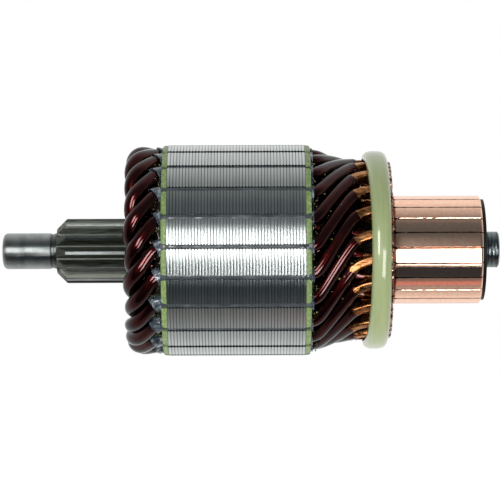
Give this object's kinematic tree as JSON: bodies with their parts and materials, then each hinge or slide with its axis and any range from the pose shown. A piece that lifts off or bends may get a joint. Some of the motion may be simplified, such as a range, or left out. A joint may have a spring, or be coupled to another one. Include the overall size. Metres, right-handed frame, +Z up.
{
  "type": "motor armature",
  "caption": "Wound rotor of a starting motor: geared shaft, slotted laminated core, enamelled hairpin winding, banding ring and copper commutator.",
  "frame": {"origin": "on the shaft axis, in the middle of the bearing length of the pinion-end journal", "axes": "+X along the shaft from the pinion end to the commutator end, +Z up"},
  "size_m": [0.1378, 0.0586, 0.0586],
  "materials": {
    "ground_steel": "ground and oiled, darker on the teeth",
    "lamination_steel": "turned edges of stamped sheets",
    "green_insulator": "satin, moulded",
    "slot_paper": "varnished paper",
    "set_resin": "set impregnating resin",
    "enamelled_copper": "dark red-brown enamel, glossy",
    "green_band": "resin-coated, glossy",
    "bare_copper": "turned and polished",
    "dark_moulding": "moulded compound"
  },
  "bodies": {
    "root": {"shaft": "ground_steel", "core_laminations": "lamination_steel", "pinion_end_insulator": "green_insulator", "commutator_end_insulator": "green_insulator", "slot_liners": "slot_paper", "slot_resin": "set_resin", "banding_ring": "green_band", "commutator_moulding": "dark_moulding", "hairpin_01": "enamelled_copper", "hairpin_02": "enamelled_copper", "hairpin_03": "enamelled_copper", "hairpin_04": "enamelled_copper", "hairpin_05": "enamelled_copper", "hairpin_06": "enamelled_copper", "hairpin_07": "enamelled_copper", "hairpin_08": "enamelled_copper", "hairpin_09": "enamelled_copper", "hairpin_10": "enamelled_copper", "hairpin_11": "enamelled_copper", "hairpin_12": "enamelled_copper", "hairpin_13": "enamelled_copper", "hairpin_14": "enamelled_copper", "hairpin_15": "enamelled_copper", "hairpin_16": "enamelled_copper", "hairpin_17": "enamelled_copper", "hairpin_18": "enamelled_copper", "hairpin_19": "enamelled_copper", "hairpin_20": "enamelled_copper", "hairpin_21": "enamelled_copper", "hairpin_22": "enamelled_copper", "commutator_bar_01": "bare_copper", "commutator_bar_02": "bare_copper", "commutator_bar_03": "bare_copper", "commutator_bar_04": "bare_copper", "commutator_bar_05": "bare_copper", "commutator_bar_06": "bare_copper", "commutator_bar_07": "bare_copper", "commutator_bar_08": "bare_copper", "commutator_bar_09": "bare_copper", "commutator_bar_10": "bare_copper", "commutator_bar_11": "bare_copper", "commutator_bar_12": "bare_copper", "commutator_bar_13": "bare_copper", "commutator_bar_14": "bare_copper", "commutator_bar_15": "bare_copper", "commutator_bar_16": "bare_copper", "commutator_bar_17": "bare_copper", "commutator_bar_18": "bare_copper", "commutator_bar_19": "bare_copper", "commutator_bar_20": "bare_copper", "commutator_bar_21": "bare_copper", "commutator_bar_22": "bare_copper"}
  },
  "joints": []
}
